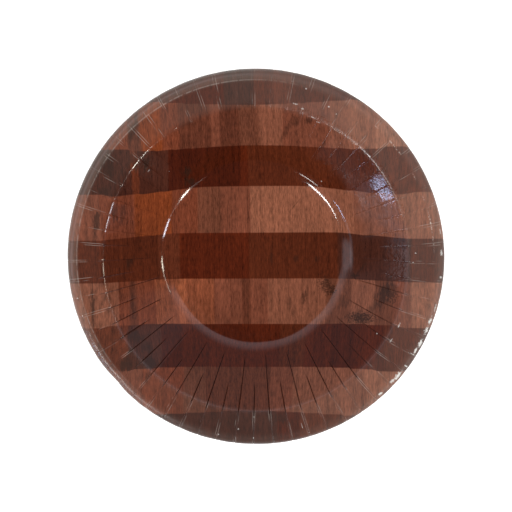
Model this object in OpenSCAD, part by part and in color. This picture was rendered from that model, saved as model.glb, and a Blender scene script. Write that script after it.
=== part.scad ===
// Paper bowl pressed from one flat round blank of coated board, with a pleated wall, a flat
// flange and a turned-down lip. The gathered board lies in pleats that widen towards the rim.

/* [Bowl] */
// Diameter across the rim
rim_d = 180; // [166:1:240]
// Height from the table to the top of the rim
bowl_h = 30; // [24:1:48]
// Thickness of the board
board_t = 0.5; // [0.35:0.05:0.8]

/* [Floor and wall] */
// Diameter where floor and wall would meet without their bend
floor_d = 88; // [60:1:110]
// Diameter where wall and flange would meet without their bend
mouth_d = 147; // [136:1:158]
// Radius of the bend round the floor, at mid board
foot_r = 20; // [8:1:28]
// Radius of the bend between wall and flange, at mid board
shoulder_r = 5; // [2:0.5:8]

/* [Flange and lip] */
// Slope of the flange, rising outwards, in degrees
flange_slope = 5.5; // [0:0.5:12]
// Radius of the bend between flange and lip, at mid board
lip_r = 4.5; // [1.5:0.25:5.25]
// Slope of the lip below level, in degrees
lip_slope = 70; // [50:1:80]
// Distance from the top of the rim down to the edge of the lip
lip_drop = 4.2; // [4:0.1:6]

/* [Pleats] */
// Number of pleats, long and short ones in turn
pleat_count = 60; // [40:2:80]
// Angle of the first long pleat, in degrees
first_pleat = 0; // [0:0.5:12]
// Diameter where the long pleats start
long_start_d = 99; // [94:1:112]
// Diameter where the short pleats start
short_start_d = 120; // [112:1:130]
// Length over which a pleat grows to its full depth
pleat_fade = 5; // [2:0.5:8]
// Depth of the crease in the printed face
crease_depth = 0.3; // [0.1:0.05:0.5]
// Height of the fold behind the crease, on the underside
fold_h = 0.35; // [0.1:0.05:0.6]
// Width of a pleat where it has just begun
slit_w = 0.5; // [0.3:0.05:0.8]

/* [Crushed spot] */
// Angle of the crushed spot on the lip, in degrees
dent_angle = 221; // [0:1:359]
// Width of the crushed spot along the lip
dent_w = 12; // [6:1:24]
// Distance that the lip is pushed in
dent_in = 0.5; // [0:0.1:2]
// Distance that the lip is pushed down
dent_down = 0.3; // [0:0.1:1]
// Length of flange, measured in from the lip's edge, that gives way at the spot
dent_reach = 9; // [6:0.5:12]

/* [Hidden] */
half_t = board_t / 2;
pleat_pitch = 360 / pleat_count;
// Parts of each bend and of the wall between two stations of the profile
foot_parts = 4;
wall_parts = 3;
shoulder_parts = 2;
lip_parts = 3;

function left(h) = [-sin(h), cos(h)];
function along(h) = [cos(h), sin(h)];
function ease(t) = let (u = min(1, max(0, t))) u * u * (3 - 2 * u);

// Corners of the profile at mid board, from the axis out to the edge of the lip. The lip's
// corner stands above the rim by what its bend takes off, so that bowl_h is the true height.
lip_edge = [rim_d / 2 - half_t * sin(lip_slope), bowl_h - lip_drop + half_t * cos(lip_slope)];
lip_crown = lip_r * (cos((flange_slope - lip_slope) / 2) / cos((flange_slope + lip_slope) / 2) - 1);
lip_z = bowl_h - half_t + lip_crown;
lip_corner = [lip_edge.x - (lip_z - lip_edge.y) / tan(lip_slope), lip_z];
mouth_corner = [mouth_d / 2, lip_z - (lip_corner.x - mouth_d / 2) * tan(flange_slope)];
foot_corner = [floor_d / 2, half_t];
wall_slope = atan2(mouth_corner.y - foot_corner.y, mouth_corner.x - foot_corner.x);

// A bend from slope a to slope b round a corner, as stations [radius, height, slope].
function bend(corner, radius, a, b, parts) =
    let (start = corner - radius * tan(abs(b - a) / 2) * along(a), side = sign(b - a))
    [for (k = [0:parts])
        let (h = a + (b - a) * k / parts, p = start + side * radius * (left(a) - left(h)))
        [p.x, p.y, h]];
// Stations on a straight run between two stations, without its ends.
function straight(from, to, parts) = [for (k = [1:parts - 1]) from + (to - from) * k / parts];

foot_bend = bend(foot_corner, foot_r, 0, wall_slope, foot_parts);
shoulder_bend = bend(mouth_corner, shoulder_r, wall_slope, flange_slope, shoulder_parts);
lip_bend = bend(lip_corner, lip_r, flange_slope, -lip_slope, lip_parts);
wall_run = straight(foot_bend[foot_parts], shoulder_bend[0], wall_parts);
profile = concat(foot_bend, wall_run, shoulder_bend, lip_bend,
                 [[lip_edge.x, lip_edge.y, -lip_slope]]);
last = len(profile) - 1;

// Length of board from the axis to a station, which is its radius in the flat blank.
function flat_r(i) = i == 0 ? profile[0].x
    : flat_r(i - 1) + norm([profile[i].x - profile[i - 1].x, profile[i].y - profile[i - 1].y]);
blank_r = flat_r(last);

// A ring of the blank is longer than the ring it is pressed into, and each pleat takes an
// equal share of what is left over.
function pleat_w(i) = max(slit_w, 2 * PI * (flat_r(i) - profile[i].x) / pleat_count);
pleat_widths = [for (i = [0:last]) pleat_w(i)];
edge_distances = [for (i = [0:last]) blank_r - flat_r(i)];
function pleat_start(j) = (j % 2 == 0 ? long_start_d : short_start_d) / 2;
function fold(i, j) = ease((profile[i].x - pleat_start(j)) / pleat_fade);

// Share of the dent at a station and an angle: a bell along the lip that fades out inwards.
function from_dent(angle) = (angle - dent_angle + 540) % 360 - 180;
function dent(i, angle) = let (across = from_dent(angle) * PI / 180 * profile[i].x / (dent_w / 2))
    exp(-across * across) * ease(1 - edge_distances[i] / dent_reach);

// A point of the skin at station i and pleat j. Across is -1 and 1 at the pleat's two edges
// and 0 in its crease, and side is 1 on the printed face and -1 on the underside.
function skin_point(i, j, across, side) =
    let (s = profile[i],
         angle = first_pleat + j * pleat_pitch + across * pleat_widths[i] / s.x / 2 * 180 / PI,
         depth = (1 - abs(across)) * fold(i, j) * (side > 0 ? crease_depth : fold_h),
         p = [s.x, s.y] + (side * half_t - depth) * left(s.z),
         give = dent(i, angle),
         r = p.x - give * dent_in)
    [r * cos(angle), r * sin(angle), p.y - give * dent_down];
function ring(i, side) = [for (j = [0:pleat_count - 1]) for (across = [-1:1])
    skin_point(i, j, across, side)];

// The skin runs out over the printed face, round the cut edge and back under the bowl.
module bowl() {
    rings = concat([for (i = [0:last]) ring(i, 1)], [for (i = [last:-1:0]) ring(i, -1)]);
    n = 3 * pleat_count;
    final = len(rings) - 1;
    points = [for (one = rings) for (p = one) p];
    walls = [for (k = [0:final - 1]) for (a = [0:n - 1])
        let (b = (a + 1) % n, near = k * n, far = near + n)
        each [[near + a, near + b, far + b], [near + a, far + b, far + a]]];
    inner_floor = [for (a = [n - 1:-1:0]) a];
    base = [for (a = [0:n - 1]) final * n + a];
    color("saddlebrown") polyhedron(points, concat(walls, [inner_floor, base]), convexity = 8);
}

bowl();
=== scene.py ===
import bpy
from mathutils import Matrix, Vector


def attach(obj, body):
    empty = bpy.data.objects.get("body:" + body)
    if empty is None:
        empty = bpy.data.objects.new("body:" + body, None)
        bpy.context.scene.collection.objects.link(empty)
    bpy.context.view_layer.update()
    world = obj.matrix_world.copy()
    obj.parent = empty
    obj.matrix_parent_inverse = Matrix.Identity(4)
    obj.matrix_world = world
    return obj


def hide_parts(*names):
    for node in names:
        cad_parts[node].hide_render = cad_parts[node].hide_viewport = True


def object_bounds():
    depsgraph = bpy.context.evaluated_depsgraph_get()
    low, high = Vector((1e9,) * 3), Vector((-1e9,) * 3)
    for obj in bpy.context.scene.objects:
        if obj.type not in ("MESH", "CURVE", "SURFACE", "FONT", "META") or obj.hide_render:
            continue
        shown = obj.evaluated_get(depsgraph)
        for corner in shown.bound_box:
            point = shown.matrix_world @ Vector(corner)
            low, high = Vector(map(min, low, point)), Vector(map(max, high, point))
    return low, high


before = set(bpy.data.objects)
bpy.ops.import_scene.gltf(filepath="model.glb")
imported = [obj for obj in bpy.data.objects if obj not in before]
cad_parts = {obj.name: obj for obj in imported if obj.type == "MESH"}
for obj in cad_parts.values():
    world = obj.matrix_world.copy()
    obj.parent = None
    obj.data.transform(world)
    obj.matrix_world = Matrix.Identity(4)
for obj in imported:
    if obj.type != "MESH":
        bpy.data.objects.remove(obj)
CAD_BOX = [list(corner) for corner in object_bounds()]

import bpy
import numpy as np
from mathutils import Matrix, Vector

bl_info = {
    "name": "Pressed Paper Bowl",
    "version": (1, 0, 0),
    "blender": (4, 5, 0),
    "location": "View3D > Sidebar > Paper Bowl",
    "description": "Dresses a pressed paper bowl: its creased board, wood-grain print, gloss coat and studio",
    "category": "Object",
}

NODE = "bowl"
BODY = "root"
MM = 0.001
# The frame's own diameter and height of the bowl.
RIM_D = CAD_BOX[1][0] - CAD_BOX[0][0]
RIM_HEIGHT = CAD_BOX[1][2] - CAD_BOX[0][2]
# Width of the picture that the focal length is counted in.
PICTURE_PX = 512


def colour_property(name, description, default):
    """A colour setting in linear light."""
    return bpy.props.FloatVectorProperty(
        name=name, description=description, default=default, size=3, min=0.0, max=1.0, subtype="COLOR"
    )


def length_property(name, description, default):
    """A length setting in metres."""
    return bpy.props.FloatProperty(
        name=name, description=description, default=default, precision=5, unit="LENGTH", subtype="DISTANCE"
    )


def angle_property(name, description, degrees):
    """An angle setting, kept in radians and given here in degrees."""
    return bpy.props.FloatProperty(
        name=name, description=description, default=float(np.radians(degrees)),
        unit="ROTATION", subtype="ANGLE",
    )


def number_property(name, description, default):
    """A plain number setting."""
    return bpy.props.FloatProperty(name=name, description=description, default=default, precision=4)


class BoardSizes(bpy.types.PropertyGroup):
    """Sizes of the pressed board, at its real size."""

    rim_d: length_property("Rim diameter", "Diameter across the rim", RIM_D)
    height: length_property("Height", "Height from the table to the top of the rim", RIM_HEIGHT)
    board_t: length_property("Board", "Thickness of the board", 0.5 * MM)
    floor_d: length_property("Floor diameter", "Diameter where floor and wall would meet unbent", 88 * MM)
    mouth_d: length_property("Mouth diameter", "Diameter where wall and flange would meet unbent", 147 * MM)
    foot_r: length_property("Foot bend", "Radius of the bend round the floor", 20 * MM)
    shoulder_r: length_property("Shoulder bend", "Radius of the bend between wall and flange", 5 * MM)
    flange_slope: angle_property("Flange slope", "Rise of the flange outwards", 5.5)
    lip_r: length_property("Lip bend", "Radius of the bend between flange and lip", 4.5 * MM)
    lip_slope: angle_property("Lip slope", "Slope of the lip below level", 70)
    lip_drop: length_property("Lip drop", "Height of the rim's top above the lip's edge", 4.2 * MM)


class PleatSizes(bpy.types.PropertyGroup):
    """Sizes of the pleats, of the panels between them and of the crushed spot."""

    count: bpy.props.IntProperty(name="Pleats", description="Long and short pleats in turn", default=60)
    long_start_r: length_property("Long start", "Radius where the long pleats start", 49.5 * MM)
    short_start_r: length_property("Short start", "Radius where the short pleats start", 60 * MM)
    start_spread: length_property("Start spread", "How far a pleat may start from its place", 1.2 * MM)
    fade: length_property("Fade", "Length over which a pleat grows to its full depth", 5 * MM)
    groove: length_property("Groove", "Depth of a pleat's groove in the printed face", 0.42 * MM)
    ridge: length_property("Ridge", "Height of the two folded edges along the groove", 0.03 * MM)
    open_angle: angle_property("Open side", "Where the pleats gape most, opposite the shut ones", 264)
    shut: number_property("Shut", "Depth of the pleats on the shut side, as a share of the full depth", 0.15)
    flat_share: number_property("Flange share", "Share of a pleat's depth that is left on the flange", 0.3)
    flat_fade: length_property("Flange fade", "Length over which a pleat flattens on the flange", 3 * MM)
    fold_h: length_property("Fold", "Height of the fold behind the groove, on the underside", 0.35 * MM)
    slit_w: length_property("Slit", "Width of a pleat where it has just begun", 0.5 * MM)
    wander: length_property("Wander", "How far a pleat strays from a straight line", 0.3 * MM)
    cockle: length_property("Cockle", "Height of the slow waves in the pressed board", 0.035 * MM)
    panel: number_property("Panel", "How flat a panel between pleats is: 0 round, 1 flat", 0.45)
    flare: length_property("Flare", "How far the wall's top leans out on its straightest side", 0.12 * MM)
    flare_angle: angle_property("Flare angle", "Middle of that side", 28)
    flare_start_r: length_property("Flare start", "Radius where the flare starts", 66.5 * MM)
    flare_fade: length_property("Flare fade", "Length over which the flare grows", 6 * MM)
    tilt: length_property("Panel tilt", "How far a panel between pleats leans to one side", 0.05 * MM)
    dent_angle: angle_property("Dent angle", "Where the crushed spot lies on the lip", 221)
    dent_w: length_property("Dent width", "Width of the crushed spot along the lip", 12 * MM)
    dent_in: length_property("Dent in", "Distance that the lip is pushed in", 0.5 * MM)
    dent_down: length_property("Dent down", "Distance that the lip is pushed down", 0.3 * MM)
    dent_reach: length_property("Dent reach", "Length of flange that gives way at the spot", 9 * MM)


class PrintLook(bpy.types.PropertyGroup):
    """The print's layout and colours, the white board, and the tones of painted shade and sheen."""

    first_edge: length_property("First edge", "From the blank's centre up to the first joint", 83.7 * MM)
    band_w: length_property("Band width", "Width of one printed band", 23.82 * MM)
    turn: angle_property("Turn", "Turn of the print on the blank", 0.43)
    grain: number_property("Grain", "Contrast of the printed grain", 1.0)
    tan: colour_property("Tan", "Palest tone of the light bands", (0.255, 0.090, 0.050))
    fawn: colour_property("Fawn", "Paler than tan, at a few ends of the light bands", (0.300, 0.115, 0.066))
    hazel: colour_property("Hazel", "Between tan and walnut", (0.208, 0.070, 0.039))
    chestnut: colour_property("Chestnut", "Between walnut and cocoa", (0.138, 0.043, 0.023))
    walnut: colour_property("Walnut", "Middle tone of the light bands", (0.170, 0.050, 0.027))
    ochre: colour_property("Ochre", "Streaky yellow-brown of the light bands", (0.240, 0.066, 0.030))
    amber: colour_property("Amber", "Orange tone of the light bands", (0.205, 0.044, 0.013))
    flame: colour_property("Flame", "Brightest orange, in one narrow strip", (0.330, 0.092, 0.040))
    rust: colour_property("Rust", "Red-brown tone of the light bands", (0.165, 0.041, 0.019))
    cocoa: colour_property("Cocoa", "Deep tone of the light bands", (0.112, 0.031, 0.016))
    garnet: colour_property("Garnet", "Reddest tone of the dark bands", (0.112, 0.025, 0.010))
    russet: colour_property("Russet", "Palest tone of the dark bands", (0.088, 0.0178, 0.0064))
    maroon: colour_property("Maroon", "Middle tone of the dark bands", (0.080, 0.0125, 0.0038))
    oxblood: colour_property("Oxblood", "Deep tone of the dark bands", (0.056, 0.0088, 0.003))
    umber: colour_property("Umber", "Brown tone of the dark bands", (0.062, 0.0165, 0.009))
    char: colour_property("Char", "Colour of the dark figure", (0.028, 0.0112, 0.0068))
    # Painted shadow inside a gaping pleat.
    shade: colour_property("Shade", "Inside of a gaping pleat", (0.036, 0.012, 0.008))
    # Tone of painted sheen on the flange, and of painted highlights along the pleats' edges and the lip's
    # bend.
    painted_sheen: colour_property("Haze", "Tone of the cracked or dulled coat", (0.75, 0.68, 0.62))
    # Tone of a painted sheen on the lip, strongest on the upper left.
    lip_sheen: colour_property("Veil", "Tone of the stretched coat on the lip", (0.68, 0.62, 0.54))
    # Also the colour of the painted glints.
    white: colour_property("White", "Bare board on the underside and the cut edge", (0.80, 0.79, 0.76))


class StageLook(bpy.types.PropertyGroup):
    """The camera's place, and the light from all round."""

    eye_distance: length_property("Eye distance", "Distance from the camera to its aim", 310 * MM)
    eye_right: number_property("Eye right", "Sideways lean of the line of sight, per unit of height", 0.0372)
    eye_back: number_property("Eye back", "Backward lean of the line of sight, per unit of height", 0.094)
    aim: bpy.props.FloatVectorProperty(
        name="Aim", description="Point that the camera looks at", default=(1.05 * MM, 2.75 * MM, 28 * MM),
        size=3, unit="LENGTH",
    )
    focal_px: number_property("Focal length", "Focal length in pixels of the picture", 654.0)
    world_level: number_property("World level", "Light from all round", 0.25)
    world_gloss: number_property("World gloss", "What the gloss coat mirrors of the room", 0.04)


class Signal:
    """A number socket that can stand in a formula: each operator adds its Math node."""

    def __init__(self, graph, socket):
        self.graph = graph
        self.socket = socket

    def math(self, operation, *others):
        values = dict(enumerate((self, *others)))
        return self.graph.add("ShaderNodeMath", {"operation": operation}, values)

    def __add__(self, other):
        return self.math("ADD", other)

    def __radd__(self, other):
        return self.math("ADD", other)

    def __sub__(self, other):
        return self.math("SUBTRACT", other)

    def __rsub__(self, other):
        return self.graph.add("ShaderNodeMath", {"operation": "SUBTRACT"}, {0: other, 1: self})

    def __mul__(self, other):
        return self.math("MULTIPLY", other)

    def __rmul__(self, other):
        return self.math("MULTIPLY", other)

    def __truediv__(self, other):
        return self.math("DIVIDE", other)

    def __rtruediv__(self, other):
        return self.graph.add("ShaderNodeMath", {"operation": "DIVIDE"}, {0: other, 1: self})

    def __neg__(self):
        return self.math("MULTIPLY", -1.0)

    def step(self, start, end):
        """0 below start and 1 above end, with a smooth change between; start may be the larger."""
        if start > end:
            return 1.0 - self.step(end, start)
        return self.graph.add(
            "ShaderNodeMapRange",
            {"interpolation_type": "SMOOTHSTEP"},
            {"Value": self, "From Min": start, "From Max": end, "To Min": 0.0, "To Max": 1.0},
            output="Result",
        )


class Graph:
    """The node tree of one material or world, with one way to add a node."""

    def __init__(self, owner):
        owner.use_nodes = True
        self.tree = owner.node_tree
        self.tree.nodes.clear()

    def put(self, socket, value):
        """Links a socket to a Signal, or gives it a plain value."""
        if isinstance(value, Signal):
            self.tree.links.new(value.socket, socket)
        else:
            socket.default_value = value

    def add(self, kind, settings=None, values=None, output=0):
        """Adds a node: its settings first, then the values or links of its sockets."""
        node = self.tree.nodes.new(kind)
        for name, setting in (settings or {}).items():
            if name == "stops":
                self.set_stops(node.color_ramp, setting)
            else:
                setattr(node, name, setting)
        for name, value in (values or {}).items():
            self.put(node.inputs[name], value)
        return Signal(self, node.outputs[output]) if len(node.outputs) else node

    @staticmethod
    def set_stops(ramp, stops):
        """Gives a colour ramp its stops, as (position, colour) pairs in rising order."""
        while len(ramp.elements) < len(stops):
            ramp.elements.new(1.0)
        for element, (position, colour) in zip(ramp.elements, stops):
            element.position = position
            element.color = (*colour, 1.0)

    def other(self, signal, output):
        """Another output of the node that a Signal comes from."""
        return Signal(self, signal.socket.node.outputs[output])

    def mix(self, factor, first, second):
        """Mixes two colours by a factor."""
        values = {0: factor, 6: first, 7: second}
        return self.add("ShaderNodeMix", {"data_type": "RGBA"}, values, output=2)

    def scale(self, colour, factor):
        """A colour times a number."""
        return self.add("ShaderNodeVectorMath", {"operation": "SCALE"}, {0: colour, "Scale": factor})

    def vector(self, x, y, z):
        """Three numbers as one vector."""
        return self.add("ShaderNodeCombineXYZ", None, {0: x, 1: y, 2: z})

    def dot(self, vector, way):
        """How far a vector runs along a fixed direction."""
        values = {0: vector, 1: way}
        return self.add("ShaderNodeVectorMath", {"operation": "DOT_PRODUCT"}, values, output="Value")

    def noise(self, vector, size, detail=2.0, roughness=0.5):
        """A noise of 0 to 1 with features about as large as size, in the vector's own unit."""
        values = {"Vector": vector, "Scale": 1.0 / size, "Detail": detail, "Roughness": roughness}
        return self.add("ShaderNodeTexNoise", None, values)


def rgba(colour):
    """A colour setting as four numbers."""
    return (*colour, 1.0)


def slope_vector(h):
    """Unit vector along the slope h, as (outwards, up)."""
    return np.array([np.cos(h), np.sin(h)])


def left_vector(h):
    """Unit vector square to the slope h, on the printed side."""
    return np.array([-np.sin(h), np.cos(h)])


def bend(corner, radius, start, end, parts):
    """Stations (r, z, slope) on the arc that rounds a corner between two slopes."""
    side = np.sign(end - start)
    first = corner - radius * np.tan(abs(end - start) / 2) * slope_vector(start)
    h = start + (end - start) * np.linspace(0, 1, parts + 1)
    p = first[:, None] + side * radius * (left_vector(start)[:, None] - left_vector(h))
    return np.array([p[0], p[1], h])


def straight(a, b, parts):
    """Stations strictly between two stations, evenly spaced along a straight run."""
    t = np.linspace(0, 1, parts + 1)[1:-1]
    return a[:, None] + (b - a)[:, None] * t


def pressed_profile(size, parts):
    """Mid-board stations from the axis to the lip's edge: floor, foot bend, wall, shoulder, flange, lip."""
    half = size.board_t / 2
    edge = np.array([
        size.rim_d / 2 - half * np.sin(size.lip_slope),
        size.height - size.lip_drop + half * np.cos(size.lip_slope),
    ])
    rise, fall = size.flange_slope, -size.lip_slope
    crown = size.lip_r * (np.cos((rise + fall) / 2) / np.cos((rise - fall) / 2) - 1)
    lip_z = size.height - half + crown
    lip = np.array([edge[0] - (lip_z - edge[1]) / np.tan(size.lip_slope), lip_z])
    mouth = np.array([size.mouth_d / 2, lip_z - (lip[0] - size.mouth_d / 2) * np.tan(rise)])
    foot = np.array([size.floor_d / 2, half])
    wall_slope = np.arctan2(mouth[1] - foot[1], mouth[0] - foot[0])
    foot_bend = bend(foot, size.foot_r, 0.0, wall_slope, parts["foot"])
    shoulder = bend(mouth, size.shoulder_r, wall_slope, rise, parts["shoulder"])
    lip_bend = bend(lip, size.lip_r, rise, fall, parts["lip"])
    middle = np.array([[0.0], [half], [0.0]])
    end = np.array([[edge[0]], [edge[1]], [fall]])
    return np.hstack([
        straight(middle[:, 0], foot_bend[:, 0], parts["floor"]),
        foot_bend,
        straight(foot_bend[:, -1], shoulder[:, 0], parts["wall"]),
        shoulder,
        straight(shoulder[:, -1], lip_bend[:, 0], parts["flange"]),
        lip_bend,
        straight(lip_bend[:, -1], end[:, 0], parts["edge"]),
        end,
    ])


def ease(t):
    """Smooth step from 0 to 1 as t goes from 0 to 1."""
    t = np.clip(t, 0, 1)
    return t * t * (3 - 2 * t)


# Columns of one pleat pitch: across the groove in half widths of the pleat, then over the panel
# that follows, as shares of it.
GROOVE_COLUMNS = np.array([-1.0, -0.6, -0.25, 0.0, 0.25, 0.6, 1.0])
PANEL_COLUMNS = np.array([0.1, 0.3, 0.5, 0.7, 0.9])
# At the groove columns, the shares of the groove's depth, of the ridges' height and of the fold's.
GROOVE_DEPTH = np.array([0.0, 0.0, 0.75, 1.0, 0.75, 0.0, 0.0])
GROOVE_RIDGE = np.array([0.2, 1.0, 0.0, 0.0, 0.0, 1.0, 0.2])
FOLD_SHAPE = np.array([0.0, 0.45, 0.9, 1.0, 0.9, 0.45, 0.0])
# Parts of each stretch of the profile, finer on the printed face than on the underside.
PRINTED_PARTS = dict(floor=7, foot=14, wall=24, shoulder=10, flange=9, lip=12, edge=3)
UNDER_PARTS = dict(floor=2, foot=7, wall=9, shoulder=5, flange=4, lip=7, edge=2)
# Material slots of the skin.
PRINTED, UNDER, CUT = 0, 1, 2

# Least and most of what is drawn for each pleat, as shares of its own width, depth and wander.
WIDTH_SPREAD = (0.75, 1.2)
DEPTH_SPREAD = (0.7, 1.15)
SWING_SPREAD = (0.3, 1.0)
# A pleat wanders as the sine of the radius over this length.
WANDER_LENGTH = 9 * MM
# Slow waves in the board: how many, their shortest and longest length, and the lengths over which
# they fade in from the floor and out at the rim.
WAVE_COUNT = 9
WAVE_LENGTHS = (14 * MM, 45 * MM)
CALM_FLOOR_R = 20 * MM
WAVE_FADE = 40 * MM
RIM_FADE = 6 * MM


def blank_radius(profile):
    """Length of board from the axis to each station, which is its radius in the flat blank."""
    steps = np.hypot(np.diff(profile[0]), np.diff(profile[1]))
    return profile[0, 0] + np.concatenate([[0], np.cumsum(steps)])


def over_pitches(at_groove, at_panel, count):
    """A row over every column of the face, from the values at the columns of one pitch."""
    at_panel = np.broadcast_to(at_panel, PANEL_COLUMNS.shape)
    return np.tile(np.concatenate([at_groove, at_panel]), count)[None, :]


def next_pleat(grid):
    """The values that the next pleat has in the same columns."""
    return np.roll(grid, -len(GROOVE_COLUMNS) - len(PANEL_COLUMNS), axis=1)


def pleat_forms(size, pleats, r, flat_r, index, rng):
    """How each pleat runs, over (station, column).

    It grows from its start, takes an equal share of the ring's surplus board, gapes by the square of a
    raised cosine round the open side, flattens on the flange and wanders in a sine. Its start, width,
    depth and wander are drawn. Returns how far it has grown, its half width and its wander as angles,
    and how far it gapes.
    """
    count = pleats.count
    start = np.where(index % 2 == 0, pleats.long_start_r, pleats.short_start_r)
    start = start + rng.uniform(-pleats.start_spread, pleats.start_spread, count)[index]
    grown = ease((r - start) / pleats.fade)
    surplus = 2 * np.pi * (flat_r - r) / count
    half_angle = np.maximum(pleats.slit_w, surplus) / r / 2 * rng.uniform(*WIDTH_SPREAD, count)[index]
    open_side = (0.5 + 0.5 * np.cos(index * 2 * np.pi / count - pleats.open_angle)) ** 2
    gape = (pleats.shut + (1 - pleats.shut) * open_side) * rng.uniform(*DEPTH_SPREAD, count)[index]
    gape = gape * (1 - (1 - pleats.flat_share) * ease((r - size.mouth_d / 2) / pleats.flat_fade))
    phase = rng.uniform(0, 2 * np.pi, count)[index]
    swing = rng.uniform(*SWING_SPREAD, count)[index] * np.sign(rng.uniform(-1, 1, count))[index]
    wander = grown * pleats.wander * swing * np.sin(r / WANDER_LENGTH + phase) / r
    return grown, half_angle, wander, gape


def panel_sag(pleats, r, angle, long_share, short_share):
    """How far the panels are drawn in towards their chords, first between the long pleats and then
    between all of them. The sag is a parabola over the angle from the nearest pleat."""
    pitch = 2 * np.pi / pleats.count
    sags = []
    for reach in (pitch, pitch / 2):
        from_pleat = np.abs((angle + reach) % (2 * reach) - reach) / reach
        sags.append(r * (1 - np.cos(reach)) * (1 - (1 - from_pleat) ** 2))
    return pleats.panel * long_share * ((1 - short_share) * sags[0] + short_share * sags[1])


def slow_waves(r, angle, rng, rim_r):
    """Sum of sine waves over the plane, each with its own direction, length and phase, scaled to
    about 1 and faded out over the floor and at the rim."""
    x, y = r * np.cos(angle), r * np.sin(angle)
    total = np.zeros_like(x)
    for _ in range(WAVE_COUNT):
        way = rng.uniform(0, 2 * np.pi)
        turns = (x * np.cos(way) + y * np.sin(way)) / rng.uniform(*WAVE_LENGTHS)
        total += np.sin(2 * np.pi * turns + rng.uniform(0, 2 * np.pi))
    calm = ease((r - CALM_FLOOR_R) / WAVE_FADE) * ease((rim_r - r) / RIM_FADE)
    return total / np.sqrt(WAVE_COUNT / 2) * calm


def wall_flare(pleats, r, angle):
    """How far the wall's top leans out: a raised cosine to a high power round its straightest side,
    which eases in with the radius."""
    side = (0.5 + 0.5 * np.cos(angle - pleats.flare_angle)) ** 30
    return pleats.flare * side * ease((r - pleats.flare_start_r) / pleats.flare_fade)


def dent_share(pleats, r, angle, edge_distance):
    """Share of the dent: a bell along the lip that eases out inwards over its reach."""
    from_dent = (angle - pleats.dent_angle + np.pi) % (2 * np.pi) - np.pi
    bell = np.exp(-((from_dent * r / (pleats.dent_w / 2)) ** 2))
    return bell * ease(1 - edge_distance / pleats.dent_reach)


def board_face(size, pleats, parts, side):
    """One face of the board as a grid of (station, column).

    A point lies half a board from the mid line, on the left of its slope for the printed face and on
    the right for the underside. The groove of each pleat is taken off along that normal, and its fold
    added behind. A panel between two pleats is drawn in towards the chord, tilted a little, and waved.
    Returns the points, the flat blank's coordinates in units of the blank's radius, and for each point
    the distance from the nearest pleat's middle, half its width, and how far it gapes.
    """
    profile = pressed_profile(size, parts)
    r, z, h = (row[:, None] for row in profile)
    flat_r = blank_radius(profile)[:, None]
    count = pleats.count
    pitch = 2 * np.pi / count
    rng = np.random.default_rng(7)
    index = np.repeat(np.arange(count), len(GROOVE_COLUMNS) + len(PANEL_COLUMNS))[None, :]
    across = over_pitches(GROOVE_COLUMNS, 1.0, count)
    share = over_pitches(np.zeros(len(GROOVE_COLUMNS)), PANEL_COLUMNS, count)
    in_groove = share == 0
    grown, half_angle, wander, gape = pleat_forms(size, pleats, r, flat_r, index, rng)

    centre = index * pitch
    here = centre + wander + half_angle
    there = centre + pitch + next_pleat(wander - half_angle)
    groove_angle = centre + wander + across * half_angle
    angle = np.where(in_groove, groove_angle, here + (there - here) * share)

    long_share = ease((r - pleats.long_start_r) / (3 * pleats.fade))
    short_share = ease((r - pleats.short_start_r) / (3 * pleats.fade))
    lean_side = rng.uniform(-1, 1, count)[index]
    tilt = short_share * pleats.tilt * lean_side * np.where(in_groove, 0.0, share * 2 - 1)
    wave = pleats.cockle * slow_waves(r, angle, rng, size.rim_d / 2)
    half = size.board_t / 2
    if side > 0:
        depth = over_pitches(GROOVE_DEPTH, 0.0, count)
        ridge = over_pitches(GROOVE_RIDGE, 0.0, count)
        off = half - grown * (gape * pleats.groove * depth - pleats.ridge * ridge)
    else:
        off = -half - grown * pleats.fold_h * over_pitches(FOLD_SHAPE, 0.0, count)
    off = off + wave + tilt - wall_flare(pleats, r, angle)
    off = off + panel_sag(pleats, r, angle, long_share, short_share)
    give = dent_share(pleats, r, angle, flat_r[-1] - flat_r)
    radius = r - np.sin(h) * off - give * pleats.dent_in
    height = z + np.cos(h) * off - give * pleats.dent_down
    points = np.stack([radius * np.cos(angle), radius * np.sin(angle), height], axis=-1)

    # The print is laid out on the flat blank. A panel keeps its own width there, so each pleat hides
    # what is left over between two panels.
    shrink = r / flat_r
    before, after = centre - pitch / 2, centre + pitch / 2
    left_edge = before + (centre + wander - half_angle - before) * shrink
    right_edge = after + (here - after) * shrink
    groove_flat = left_edge + (right_edge - left_edge) * (across + 1) / 2
    flat_angle = np.where(in_groove, groove_flat, after + (angle - after) * shrink)
    rho = flat_r / flat_r[-1]
    blank = np.stack([rho * np.cos(flat_angle), rho * np.sin(flat_angle)], axis=-1)

    to_this = np.abs(angle - centre - wander)
    to_next = np.abs(angle - centre - pitch - next_pleat(wander))
    is_near = to_this <= to_next
    distance = np.minimum(to_this, to_next) * r / MM
    width = np.where(is_near, half_angle, next_pleat(half_angle)) * r / MM
    gap = np.where(is_near, gape * grown, next_pleat(gape * grown))
    return points, blank, np.stack([distance, width, gap], axis=-1)


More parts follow.
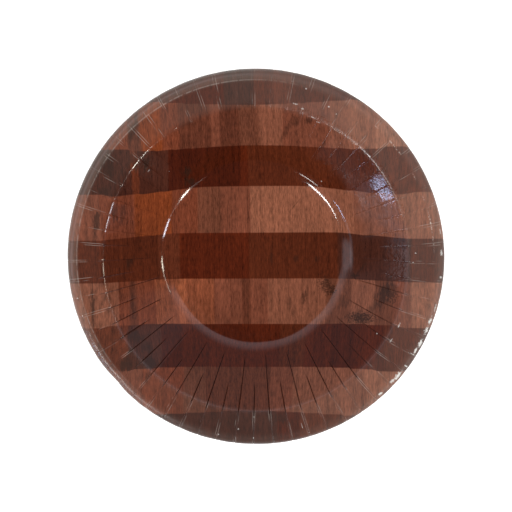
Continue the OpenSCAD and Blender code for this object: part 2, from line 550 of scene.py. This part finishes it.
def closed_shell(faces):
    """Joins two grids of rings into one closed skin: out over the first, round the edge and back under
    the second, with a fan of triangles over the middle of each.

    Returns vertices, blank coordinates, pleat data, quads, triangles and each face's material index.
    """
    (top, top_blank, top_pleat), (under, under_blank, under_pleat) = faces
    n = top.shape[1]
    rows = np.concatenate([top, under[::-1]])
    blank = np.concatenate([top_blank, under_blank[::-1]])
    verts = rows.reshape(-1, 3)
    uv = blank.reshape(-1, 2)
    pleat = np.concatenate([top_pleat, under_pleat[::-1]]).reshape(-1, 3)
    k = np.arange(len(rows) - 1)[:, None]
    a = np.arange(n)[None, :]
    b = (a + 1) % n
    quads = np.stack([k * n + a, (k + 1) * n + a, (k + 1) * n + b, k * n + b], axis=-1).reshape(-1, 4)
    row = np.repeat(np.arange(len(rows) - 1), n)
    kind = np.where(row < len(top) - 1, PRINTED, np.where(row == len(top) - 1, CUT, UNDER))
    middle_top = len(verts)
    middle_under = middle_top + 1
    floor_z = [top[0, :, 2].mean(), under[0, :, 2].mean()]
    verts = np.vstack([verts, [[0, 0, floor_z[0]], [0, 0, floor_z[1]]]])
    uv = np.vstack([uv, [[0, 0], [0, 0]]])
    pleat = np.vstack([pleat, [[9, 1, 0], [9, 1, 0]]])
    ring = np.arange(n)
    last = (len(rows) - 1) * n
    fan_top = np.stack([np.full(n, middle_top), ring, (ring + 1) % n], axis=-1)
    fan_under = np.stack([np.full(n, middle_under), last + (ring + 1) % n, last + ring], axis=-1)
    triangles = np.vstack([fan_top, fan_under])
    kinds = np.concatenate([kind, np.full(n, PRINTED), np.full(n, UNDER)])
    return verts, uv, pleat, quads, triangles, kinds


def skin_mesh(name, verts, uv, pleat, quads, triangles, kinds):
    """Fills a mesh from whole arrays, with smooth shading broken only at the cut edge."""
    mesh = bpy.data.meshes.new(name)
    loops = np.concatenate([quads.ravel(), triangles.ravel()]).astype(np.int32)
    sizes = np.concatenate([np.full(len(quads), 4), np.full(len(triangles), 3)])
    starts = np.concatenate([[0], np.cumsum(sizes)[:-1]]).astype(np.int32)
    mesh.vertices.add(len(verts))
    mesh.vertices.foreach_set("co", verts.astype(np.float32).ravel())
    mesh.loops.add(len(loops))
    mesh.loops.foreach_set("vertex_index", loops)
    mesh.polygons.add(len(sizes))
    mesh.polygons.foreach_set("loop_start", starts)
    mesh.polygons.foreach_set("material_index", kinds.astype(np.int32))
    mesh.polygons.foreach_set("use_smooth", np.ones(len(sizes), dtype=bool))
    mesh.update(calc_edges=True)
    layer = mesh.uv_layers.new(name="blank")
    layer.data.foreach_set("uv", (uv[loops] * 0.5 + 0.5).astype(np.float32).ravel())
    nearest = mesh.attributes.new("pleat", "FLOAT_VECTOR", "POINT")
    nearest.data.foreach_set("vector", pleat.astype(np.float32).ravel())
    mesh.set_sharp_from_angle(angle=np.radians(62))
    mesh.validate()
    return mesh


def new_object(name, mesh):
    """An object at the origin in the scene's own collection."""
    obj = bpy.data.objects.new(name, mesh)
    bpy.context.scene.collection.objects.link(obj)
    return obj


# Strips of each band, from the top band down, as (left edge, tone): a tone runs to the next entry,
# as on a board glued up from strips. Edges are in millimetres on the flat blank.
BAND_STRIPS = [
    [(-104, "maroon"), (-15, "umber"), (0, "russet"), (10, "garnet"), (20, "russet")],
    [(-104, "rust"), (-66, "cocoa"), (-60, "amber"), (-49, "rust"), (-40, "cocoa"), (-23, "walnut"),
     (-18, "cocoa"), (-8, "chestnut"), (3, "hazel"), (15, "walnut"), (40, "hazel"), (50, "tan"),
     (64, "fawn")],
    [(-104, "umber"), (-66, "garnet"), (-62, "umber"), (-46, "oxblood"), (-8, "maroon"),
     (-4, "russet"), (64, "garnet")],
    [(-104, "walnut"), (-83, "rust"), (-65, "amber"), (-44, "rust"), (-30, "chestnut"), (-18, "walnut"),
     (-3, "tan"), (52, "hazel"), (78, "tan")],
    [(-104, "russet"), (-52, "garnet"), (-40, "maroon"), (-4, "russet"), (42, "umber"),
     (84, "russet")],
    [(-104, "hazel"), (-75, "rust"), (-69, "cocoa"), (-65, "rust"), (-54, "ochre"), (-41, "flame"),
     (-37, "ochre"), (-22, "walnut"), (-8, "cocoa"), (-3, "walnut"), (6, "hazel"),
     (36, "chestnut"), (50, "hazel"), (65, "chestnut"), (75, "walnut"), (84, "tan")],
    [(-104, "garnet"), (-70, "umber"), (-52, "oxblood"), (-40, "maroon"), (12, "russet"), (26, "maroon"),
     (40, "oxblood"), (54, "maroon"), (70, "russet")],
    [(-104, "walnut"), (-62, "rust"), (-40, "chestnut"), (-28, "cocoa"), (8, "walnut"), (20, "hazel"),
     (60, "tan")],
    [(-104, "umber"), (12, "maroon"), (24, "garnet")],
]
# Length over which one strip's tone runs into the next, in millimetres, and one band's into the
# next, as a share of a band.
STRIP_BLUR = 0.5
BAND_BLUR = 0.012
# Dark figure in the grain, as (right, up, half width, half height, slant, strength), in millimetres
# on the flat blank and degrees.
FIGURES = [
    (-63, 70, 2.2, 8, -25, 0.75),
    (-77, 51, 3.5, 7, 0, 0.7),
    (-64, 54, 2.5, 5, 30, 0.6),
    (-58, 53, 2.5, 4.5, 0, 0.95),
    (-36, 46, 3, 3.5, 0, 0.8),
    (-34, 40, 3.5, 2.6, -35, 0.9),
    (-79, 38.5, 4, 3, 0, 0.6),
    (-84.5, 22, 1.5, 8, -8, 0.85),
    (-76, 27, 1.8, 7, 6, 0.6),
    (-71.5, 26, 1.8, 7, -6, 0.6),
    (-87, 33, 1.4, 4, 0, 0.5),
    (-68, -1, 2.2, 4, -35, 0.75),
    (-87.5, -24, 1.1, 11, 2, 0.85),
    (-82, -20, 1.1, 5, -25, 0.6),
    (-74, -17, 1.1, 6, 5, 0.5),
    (-67, -24, 1.2, 12, 2, 0.5),
    (-66, -42, 7, 4, 0, 0.75),
    (-71, -56, 3, 4.5, -20, 0.9),
    (-58, -56, 5, 4, -30, 0.9),
    (-60, -48, 6, 4, -40, 0.6),
    (-59, -64, 2, 4, 0, 0.6),
    (18, 70, 1.4, 11, -27, 0.5),
    (23, 75, 2.4, 5, -15, 0.5),
    (29.5, 75.5, 2, 2.2, -40, 0.75),
    (22.5, 68, 1.2, 3, 0, 0.5),
    (37, 61, 1, 3, -20, 0.5),
    (20, 26, 0.4, 4, -38, 0.5),
    (17.5, -24, 1.5, 4, 0, 0.45),
    (25, -21, 1.6, 5, -10, 0.65),
    (19, -29, 1.2, 2.5, 0, 0.45),
    (46, -24, 3.5, 4, 0, 0.4),
    (70, -18, 3.4, 10, -28, 0.9),
    (76, -15, 1.8, 3, 0, 0.5),
    (64, -26, 2.2, 5, -35, 0.6),
    (8, 0, 0.8, 5, 0, 0.6),
    (20.5, -1, 1.6, 2.2, 0, 0.55),
    (31, -2, 2, 2.6, 0, 0.5),
    (56, -6, 0.8, 7, -38, 0.5),
    (-4.5, -24, 0.7, 11, 0, 0.3),
    (15, -86, 4, 2.6, 0, 0.6),
    (57, -32, 9, 4, 0, 0.45),
]
# Patches of dark specks, in the same form.
SPECKS = [
    (36, -15, 3.2, 5, 20, 0.8),
    (39.5, -18, 2, 3, 0, 1.0),
    (57, -32, 8, 3.4, 0, 1.0),
    (52, -10, 2.5, 1.4, 0, 1.0),
    (74, -19, 4, 4, 0, 0.8),
]
# Painted glints, as white spots on the lip and a few elsewhere, as (angle, radius, half width out,
# half length along, strength), in degrees and millimetres on the flat blank.
GLINT_SPOTS = [
    (-14.5, 98.9, 0.6, 1.6, 0.7),
    (-18.6, 98.5, 1.0, 2.4, 1.0),
    (-21.8, 98.4, 1.0, 2.2, 1.0),
    (-26.6, 98.4, 1.0, 2.4, 1.0),
    (-29.0, 98.0, 0.7, 1.8, 0.9),
    (-30.6, 97.6, 1.8, 0.5, 0.9),
    (-34.6, 98.4, 1.4, 0.4, 0.9),
    (-38.6, 98.2, 1.3, 2.4, 1.0),
    (-40.8, 97.6, 0.9, 1.8, 0.7),
    (-46.4, 98.0, 0.8, 1.1, 0.9),
    (2.6, 98.6, 0.8, 1.6, 0.7),
    (-4.8, 98.8, 0.9, 0.6, 0.6),
    (9.0, 99.0, 0.5, 2.0, 0.4),
    (-23.9, 85.6, 0.4, 1.6, 0.6),
    (-30.1, 85.6, 0.4, 1.5, 0.5),
    (-31.1, 77.8, 0.35, 0.6, 0.7),
    (2.9, 86.4, 0.4, 0.4, 0.5),
    (-0.3, 85.3, 0.3, 0.6, 0.5),
    (77.6, 95.9, 0.35, 0.35, 0.5),
    (73.0, 94.2, 0.4, 0.4, 0.5),
    (63.8, 90.4, 0.4, 0.4, 0.6),
    (60.8, 89.1, 0.35, 0.35, 0.5),
    (74.8, 86.4, 0.3, 1.2, 0.4),
    (72.0, 85.2, 0.3, 1.2, 0.4),
    (67.6, 83.2, 0.3, 1.6, 0.4),
    (64.5, 82.0, 0.3, 1.2, 0.4),
    (-95.4, 92.1, 0.35, 0.35, 0.5),
    (-101.7, 96.1, 0.4, 0.4, 0.6),
    (-90.6, 96.1, 0.5, 0.35, 0.6),
    (-90.3, 85.9, 0.35, 0.6, 0.4),
    (-74.2, 92.9, 1.4, 0.25, 0.5),
    (-72.4, 97.2, 0.35, 0.35, 0.5),
    (133.8, 65.7, 0.3, 0.3, 0.4),
    (139.3, 74.8, 0.3, 0.8, 0.35),
    (48.9, 52.5, 0.35, 0.35, 0.6),
]


def marks(u, v, places, ragged, bite):
    """Soft patches at the places given, with ragged edges: the noise moves the edge in and out."""
    total = None
    for right, up, half_w, half_h, slant, strength in places:
        c, s = float(np.cos(np.radians(slant))), float(np.sin(np.radians(slant)))
        x = (u - right) * (c / half_w) + (v - up) * (s / half_w)
        y = (v - up) * (c / half_h) - (u - right) * (s / half_h)
        far = (x * x + y * y).math("SQRT") + (ragged - 0.5) * bite
        patch = far.step(1.15, 0.35) * strength
        total = patch if total is None else total.math("MAXIMUM", patch)
    return total


def painted_glints(u, v, ragged):
    """Painted glints: white spots on the lip and a few elsewhere."""
    places = []
    for angle, radius, half_w, half_h, strength in GLINT_SPOTS:
        a = np.radians(angle)
        places.append((float(radius * np.cos(a)), float(radius * np.sin(a)), half_w, half_h, angle, strength))
    return marks(u, v, places, ragged, 3.0)


def banded_colour(g, look, u, v, wide):
    """The nine bands, each a colour ramp over its strips, joined at straight edges."""
    band = (look.first_edge / MM - v) / (look.band_w / MM) + 1.0
    share = u / wide + 0.5
    colour = None
    for index, strips in enumerate(BAND_STRIPS):
        stops = []
        for start, tone in strips:
            before = stops[-1][1] if stops else getattr(look, tone)
            edge = max(start / wide + 0.5, 0.0)
            stops += [(edge, before), (edge + STRIP_BLUR / wide, getattr(look, tone))]
        ramp = g.add("ShaderNodeValToRGB", {"stops": stops}, {0: share})
        past = band.step(index - BAND_BLUR, index + BAND_BLUR)
        colour = ramp if colour is None else g.mix(past, colour, ramp)
    return colour


def grain_level(g, u, v, grain):
    """Brightness of the grain, about 1: fine fibres, streaks, broad streaks and mottle, each a noise
    stretched along the strips, and short dark pores."""
    fibre = g.noise(g.vector(u / 0.55, v / 3.6, 0.0), 1.0, 3.0, 0.7)
    streak = g.noise(g.vector(u / 1.6, v / 34.0, 3.0), 1.0, 2.0, 0.6)
    broad = g.noise(g.vector(u / 9.0, v / 90.0, 5.0), 1.0, 1.0)
    mottle = g.noise(g.vector(u / 2.4, v / 3.6, 9.0), 1.0, 2.0)
    pore = g.noise(g.vector(u / 0.6, v / 2.6, 7.0), 1.0, 1.0).step(0.64, 0.76)
    waves = 2.3 * (fibre - 0.5) + 1.2 * (streak - 0.5) + 0.5 * (broad - 0.5) + 0.5 * (mottle - 0.5)
    return (1.06 + grain * (waves - 0.12 * pore)).math("MAXIMUM", 0.3)


class BlankPlace:
    """A point's place on the flat blank in millimetres, u along the bands and v along the grain, with
    masks for the parts and sides of the bowl and the noises that several marks share."""

    def __init__(self, g, look, blank_r):
        uv = g.add("ShaderNodeUVMap", {"uv_map": "blank"})
        place = g.add("ShaderNodeSeparateXYZ", None, {0: uv})
        self.wide = 2 * blank_r / MM
        across = (place - 0.5) * self.wide
        along = (g.other(place, 1) - 0.5) * self.wide
        cos, sin = float(np.cos(look.turn)), float(np.sin(look.turn))
        u = across * cos + along * sin
        v = along * cos - across * sin
        self.u, self.v = u, v
        self.far = (u * u + v * v).math("SQRT")
        self.flange = self.far.step(80.5, 86.0)
        self.lip = self.far.step(93.5, 96.5)
        self.upper_left = 0.5 * v - 0.87 * u
        # The side where the flange is rougher and its painted sheen strongest.
        self.dull_and_sheen_side = (0.8 * u + 0.6 * v).step(-90.0, 90.0)
        self.crisp_side = (self.upper_left / self.far.math("MAXIMUM", 1.0)).step(0.2, 0.7)
        self.ragged = g.noise(g.vector(u / 1.6, v / 6.0, 11.0), 1.0, 4.0, 0.7)
        self.patchy = g.noise(g.vector(u, v, 19.0), 9.0, 3.0).step(0.46, 0.62)
        self.crumbled = g.noise(g.vector(u, v, 23.0), 0.9, 3.0, 0.65)


def wood_print(g, look, at):
    """Banded strips times their grain, with dark figure and specks over them."""
    colour = g.scale(banded_colour(g, look, at.u, at.v, at.wide), grain_level(g, at.u, at.v, look.grain))
    colour = g.mix(0.85 * marks(at.u, at.v, FIGURES, at.ragged, 3.2), colour, rgba(look.char))
    crumbs = g.noise(g.vector(at.u, at.v, 13.0), 1.0, 3.0, 0.6)
    return g.mix(0.8 * marks(at.u, at.v, SPECKS, crumbs, 4.5), colour, rgba(look.char))


def pleat_painted_light(g, look, at, colour):
    """Painted shadow darkens the inside of a gaping pleat. Where the board is folded flat on the flange,
    painted highlights run pale along the pleat's two edges, in patches."""
    pleat = g.add("ShaderNodeAttribute", {"attribute_name": "pleat"}, None, output="Vector")
    distance = g.add("ShaderNodeSeparateXYZ", None, {0: pleat})
    half_width, gape = g.other(distance, 1), g.other(distance, 2)
    # Painted shadow in the groove of a gaping pleat.
    slit_shadow = distance.step(0.42, 0.1) * gape.step(0.1, 0.8)
    colour = g.mix(0.7 * slit_shadow, colour, rgba(look.shade))
    # Painted highlights along a pleat's folded edges on the flange, in patches.
    edges = (distance - half_width).math("ABSOLUTE").step(0.26, 0.06) * at.flange * at.patchy
    return g.mix(0.21 * edges, colour, rgba(look.painted_sheen))


def rim_painted_light(g, look, at, colour):
    """On the flange the colour is darkened by painted shade, most on the lower side and least on the left.
    A painted sheen lies over the flange, most on one side and on the lip. A painted highlight runs
    along the lip's bend, and painted glints are white spots."""
    lower_shade, left = (-at.v).step(40.0, 90.0), (-at.u).step(40.0, 90.0)
    # Painted shade on the flange, deepest on the lower side and least on the left.
    colour = g.scale(colour, 1.0 - at.flange * (0.16 + 0.08 * lower_shade - 0.1 * left))
    # Painted sheen over the flange, strongest on one side.
    colour = g.mix(at.flange * (0.015 + 0.03 * at.dull_and_sheen_side), colour, rgba(look.painted_sheen))
    # Painted sheen on the lip, strongest on the upper left.
    lip_sheen_share = at.lip * (0.02 + 0.075 * at.upper_left.step(-10.0, 80.0))
    colour = g.mix(lip_sheen_share, colour, rgba(look.lip_sheen))
    # A painted highlight along the lip's bend: a thin line on the upper left and glints on the right.
    seam = (at.far - 94.9).math("ABSOLUTE").step(0.45, 0.1)
    left_seam = 0.16 * at.upper_left.step(10.0, 70.0) * at.ragged.step(0.35, 0.55)
    right_side = (0.88 * at.u + 0.47 * at.v).step(84.0, 92.0)
    right_seam = 0.6 * right_side * at.patchy * at.crumbled.step(0.46, 0.54)
    colour = g.mix(seam * (left_seam + right_seam), colour, rgba(look.painted_sheen))
    # Painted glints: white spots, mostly on the lip.
    return g.mix(painted_glints(at.u, at.v, at.crumbled), colour, rgba(look.white))


def coat_roughness(at):
    """Glossy floor and wall, and a duller flange that stays crisp on one side. Spots of the shoulder
    keep their gloss on the upper right, so its highlight breaks into sparks."""
    spots = at.crumbled.step(0.54, 0.44) * at.far.step(86.0, 85.0)
    sparks = spots * (0.7 * at.u + 0.71 * at.v).step(64.0, 78.0)
    duller = at.far.step(81.5, 84.5) * (0.3 - 0.22 * at.crisp_side) * (1.0 - 0.75 * sparks)
    return 0.09 + duller + 0.06 * at.flange * at.dull_and_sheen_side


def coat_bump(g, at):
    """A fine weave all over, stronger on the flange, and crinkles towards the shoulder."""
    weave = g.noise(g.vector(at.u, at.v, 17.0), 0.5, 2.0) * (0.4 + 0.6 * at.flange)
    fine = g.add("ShaderNodeBump", None, {"Strength": 0.1, "Distance": 0.00005, "Height": weave})
    crinkle = g.noise(g.vector(at.u, at.v, 29.0), 1.6, 2.0) * at.far.step(66.0, 82.0)
    crinkle = crinkle * (1.0 - 0.85 * at.crisp_side)
    values = {"Strength": 0.6, "Distance": 0.00012, "Height": crinkle, "Normal": fine}
    return g.add("ShaderNodeBump", None, values)


def printed_material(look, blank_r):
    """Glossy wood-grain print, laid out in the flat blank's coordinates, under a clear coat, with painted
    shade, sheen, highlights and glints along the pleats and the rim."""
    material = bpy.data.materials.new("printed_gloss_board")
    g = Graph(material)
    at = BlankPlace(g, look, blank_r)
    colour = rim_painted_light(g, look, at, pleat_painted_light(g, look, at, wood_print(g, look, at)))
    values = {"Base Color": colour, "Roughness": coat_roughness(at), "IOR": 1.5, "Normal": coat_bump(g, at)}
    shader = g.add("ShaderNodeBsdfPrincipled", None, values)
    g.add("ShaderNodeOutputMaterial", None, {"Surface": shader})
    return material


def white_board_material(look, blank_r, name, roughness):
    """Bare white board: short fibres lie every way, so its tone and its surface vary a little."""
    material = bpy.data.materials.new(name)
    g = Graph(material)
    uv = g.add("ShaderNodeUVMap", {"uv_map": "blank"})
    place = g.scale(uv, 2 * blank_r / MM)
    fibres = g.noise(place, 0.6, 3.0, 0.6)
    clouds = g.noise(place, 18.0, 2.0)
    colour = g.scale(tuple(look.white), 0.95 + 0.05 * fibres + 0.04 * clouds)
    bump = g.add("ShaderNodeBump", None, {"Strength": 0.15, "Distance": 0.00008, "Height": fibres})
    values = {"Base Color": colour, "Roughness": roughness, "Normal": bump}
    shader = g.add("ShaderNodeBsdfPrincipled", None, values)
    g.add("ShaderNodeOutputMaterial", None, {"Surface": shader})
    return material


class BOWL_OT_board(bpy.types.Operator):
    """Build the pressed board with its pleats, panels, lip, crushed spot and print"""

    bl_idname = "bowl.board"
    bl_label = "Pressed Board"

    def execute(self, context):
        scene = context.scene
        size, pleats, look = scene.board_sizes, scene.pleat_sizes, scene.print_look
        top = board_face(size, pleats, PRINTED_PARTS, 1)
        under = board_face(size, pleats, UNDER_PARTS, -1)
        blank_r = float(blank_radius(pressed_profile(size, PRINTED_PARTS))[-1])
        mesh = skin_mesh("pressed_board", *closed_shell([top, under]))
        for material in (
            printed_material(look, blank_r),
            white_board_material(look, blank_r, "white_underside", 0.62),
            white_board_material(look, blank_r, "cut_edge", 0.85),
        ):
            mesh.materials.append(material)
        piece = new_object("pressed_board", mesh)
        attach(piece, BODY)
        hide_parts(NODE)
        return {"FINISHED"}


def sky_point(azimuth, elevation):
    """Unit vector to an azimuth from +X towards +Y and an elevation, in degrees."""
    a, e = np.radians(azimuth), np.radians(elevation)
    return Vector((np.cos(a) * np.cos(e), np.sin(a) * np.cos(e), np.sin(e)))


# Lamps as (name, one end, other end, height, radiance, colour, mirrored). An end is (azimuth,
# elevation) and the height an angle, in degrees. A lamp that isn't mirrored only fills the shadows.
LAMPS = [
    ("soft_fill", (15, 55), (85, 55), 40, 3.4, (1.0, 0.98, 0.95), False),
    ("window_fill", (236, 36), (208, 36), 12, 10.0, (1.0, 0.98, 0.95), False),
    ("window_bar", (242, 20.3), (232, 21.0), 1.6, 22.0, (1.0, 0.98, 0.94), True),
    ("window", (236, 34.5), (219, 34.5), 3.2, 46.0, (1.0, 1.0, 1.0), True),
    ("window_end", (219, 35), (211, 37), 1.8, 34.0, (1.0, 1.0, 1.0), True),
    ("window_low_sill", (225, 6.2), (209, 6.8), 1.2, 12.0, (0.85, 0.90, 1.0), True),
    ("window_low_pane", (218, 13.9), (208, 14.1), 1.1, 38.0, (0.50, 0.66, 1.0), True),
    ("pane_near", (309.5, 21.5), (315.5, 21), 4.2, 46.0, (1.0, 0.96, 0.85), True),
    ("pane_gap", (297, 21.5), (330, 22.5), 0.6, 7.0, (1.0, 0.96, 0.90), True),
    ("pane_middle", (331.5, 23), (341, 23.5), 3.5, 28.0, (0.86, 0.90, 1.0), True),
    ("pane_far", (354, 26), (363, 28), 3, 26.0, (1.0, 0.93, 0.75), True),
    ("pane_faint", (363, 28), (378, 31), 2.0, 6.0, (1.0, 0.93, 0.80), True),
]
# Soft glows that only the gloss mirrors, as (azimuth, elevation, half width, half height, strength),
# in degrees.
GLOWS = [
    (187, 31, 10, 19, 1.25),
    (187, 17, 11, 6.5, 0.9),
    (208, 10.5, 13, 4, 0.4),
    (229, 8.5, 14, 5, 0.28),
    (36, 20, 13, 7, 0.2),
]
# One glow more, bluer than the rest of the room.
BLUE_GLOW = (200, 12.5, 10, 4.2, 0.7)
ROOM_TINT = (0.93, 0.90, 1.0, 1.0)
BLUE_TINT = (0.35, 0.75, 1.0, 1.0)
LAMP_DISTANCE = 1.4


def window_lamp(name, first, last, height, radiance, colour, mirrored):
    """A rectangular lamp that lies between two directions and faces the bowl."""
    a, b = sky_point(*first), sky_point(*last)
    out = (a + b).normalized()
    side = (b - a).normalized()
    data = bpy.data.lights.new(name, "AREA")
    data.shape = "RECTANGLE"
    data.size = (b - a).length * LAMP_DISTANCE
    data.size_y = 2 * LAMP_DISTANCE * float(np.tan(np.radians(height) / 2))
    data.energy = radiance * data.size * data.size_y * np.pi
    data.color = colour
    lamp = bpy.data.objects.new(name, data)
    turn = Matrix((side, out.cross(side), out)).transposed().to_4x4()
    lamp.matrix_world = Matrix.Translation(out * LAMP_DISTANCE) @ turn
    lamp.visible_glossy = mirrored
    bpy.context.scene.collection.objects.link(lamp)


def glow(g, way, azimuth, elevation, half_w, half_h):
    """1 at a direction, fading to 0 at an ellipse of the half sizes given, in degrees."""
    out = sky_point(azimuth, elevation)
    side = Vector((-out.y, out.x, 0)).normalized()
    x = g.dot(way, side) / float(np.sin(np.radians(half_w)))
    y = g.dot(way, out.cross(side)) / float(np.sin(np.radians(half_h)))
    return (x * x + y * y).step(1.0, 0.2) * g.dot(way, out).step(0.0, 0.2)


class BOWL_OT_stage(bpy.types.Operator):
    """Set up the camera, the soft lamps and the pale floor"""

    bl_idname = "bowl.stage"
    bl_label = "Stage"

    def execute(self, context):
        look = context.scene.stage_look
        self.camera(context.scene, look)
        self.lamps()
        self.room(context.scene, look)
        self.floor()
        context.scene.view_settings.view_transform = "Standard"
        return {"FINISHED"}

    @staticmethod
    def camera(scene, look):
        """A camera that looks down at its aim along the line of sight's lean, with +Y up in the picture."""
        back = Vector((look.eye_right, look.eye_back, 1.0)).normalized()
        right = Vector((0, 1, 0)).cross(back).normalized()
        up = back.cross(right)
        data = bpy.data.cameras.new("camera")
        data.sensor_width = 36.0
        data.lens = look.focal_px * data.sensor_width / PICTURE_PX
        data.clip_start, data.clip_end = 0.01, 20.0
        camera = bpy.data.objects.new("camera", data)
        turn = Matrix((right, up, back)).transposed().to_4x4()
        camera.matrix_world = Matrix.Translation(Vector(look.aim) + back * look.eye_distance) @ turn
        scene.collection.objects.link(camera)
        scene.camera = camera

    @staticmethod
    def lamps():
        """The lamps of the list, round the bowl."""
        for lamp in LAMPS:
            window_lamp(*lamp)

    @staticmethod
    def room(scene, look):
        """White to the camera and plain to matt surfaces. The gloss mirrors a dim room, with a pale wall
        on the far side that is brightest just under its top edge."""
        world = bpy.data.worlds.new("soft_room")
        scene.world = world
        g = Graph(world)
        place = g.add("ShaderNodeTexCoord", None, None, output="Generated")
        x = g.add("ShaderNodeSeparateXYZ", None, {0: place})
        y, z = g.other(x, 1), g.other(x, 2)
        side = (y - 0.12 * x).step(0.02, 0.2)
        wall = side * (0.26 + 0.9 * z.step(0.32, 0.7)) * z.step(0.775, 0.745)
        glows = 0.0
        for *shape, strength in GLOWS:
            glows = glow(g, place, *shape) * strength + glows
        seen = g.add("ShaderNodeLightPath", None, None, output="Is Camera Ray")
        plain = (1, 1, 1, 1)
        matt = g.add("ShaderNodeBackground", None, {"Color": plain, "Strength": look.world_level})
        *shape, strength = BLUE_GLOW
        blue = glow(g, place, *shape)
        tint = g.mix(blue, ROOM_TINT, BLUE_TINT)
        level = look.world_gloss + wall + glows + strength * blue
        dim = g.add("ShaderNodeBackground", None, {"Color": tint, "Strength": level})
        white = g.add("ShaderNodeBackground", None, {"Color": plain, "Strength": 1.0})
        unseen = g.add("ShaderNodeMixShader", None, {0: g.other(seen, "Is Glossy Ray"), 1: matt, 2: dim})
        both = g.add("ShaderNodeMixShader", None, {0: seen, 1: unseen, 2: white})
        g.add("ShaderNodeOutputWorld", None, {"Surface": both})

    @staticmethod
    def floor():
        """A pale matt square that shines a little to the camera, so that it is white around the shadow."""
        half = 3.0
        corners = [(-half, -half, 0), (half, -half, 0), (half, half, 0), (-half, half, 0)]
        mesh = bpy.data.meshes.new("floor")
        mesh.from_pydata(corners, [], [(0, 1, 2, 3)])
        floor = new_object("floor", mesh)
        floor.location.z = -0.0002
        material = bpy.data.materials.new("pale_floor")
        g = Graph(material)
        matt = g.add("ShaderNodeBsdfDiffuse", None, {"Color": (0.8, 0.8, 0.8, 1)})
        shine = g.add("ShaderNodeEmission", None, {"Color": (1, 1, 1, 1), "Strength": 0.6})
        path = g.add("ShaderNodeLightPath", None, None, output="Is Camera Ray")
        both = g.add("ShaderNodeAddShader", None, {0: matt, 1: shine})
        shown = g.add("ShaderNodeMixShader", None, {0: path, 1: matt, 2: both})
        g.add("ShaderNodeOutputMaterial", None, {"Surface": shown})
        mesh.materials.append(material)


class BOWL_PT_panel(bpy.types.Panel):
    """Lists the operators and the settings of the bowl"""

    bl_idname = "BOWL_PT_panel"
    bl_label = "Paper Bowl"
    bl_space_type = "VIEW_3D"
    bl_region_type = "UI"
    bl_category = "Paper Bowl"

    def draw(self, context):
        layout = self.layout
        for operator in OPERATORS:
            layout.operator(operator.bl_idname)
        for group in GROUPS:
            settings = getattr(context.scene, group)
            for name in settings.bl_rna.properties.keys():
                if name not in ("rna_type", "name"):
                    layout.prop(settings, name)


GROUPS = {
    "board_sizes": BoardSizes,
    "pleat_sizes": PleatSizes,
    "print_look": PrintLook,
    "stage_look": StageLook,
}
OPERATORS = (BOWL_OT_board, BOWL_OT_stage)


def register():
    for cls in (*GROUPS.values(), *OPERATORS, BOWL_PT_panel):
        bpy.utils.register_class(cls)
    for name, cls in GROUPS.items():
        setattr(bpy.types.Scene, name, bpy.props.PointerProperty(type=cls))


def unregister():
    for name in GROUPS:
        delattr(bpy.types.Scene, name)
    for cls in reversed((*GROUPS.values(), *OPERATORS, BOWL_PT_panel)):
        bpy.utils.unregister_class(cls)


def main():
    register()
    bpy.ops.bowl.board()
    bpy.ops.bowl.stage()


if __name__ == "__main__":
    main()
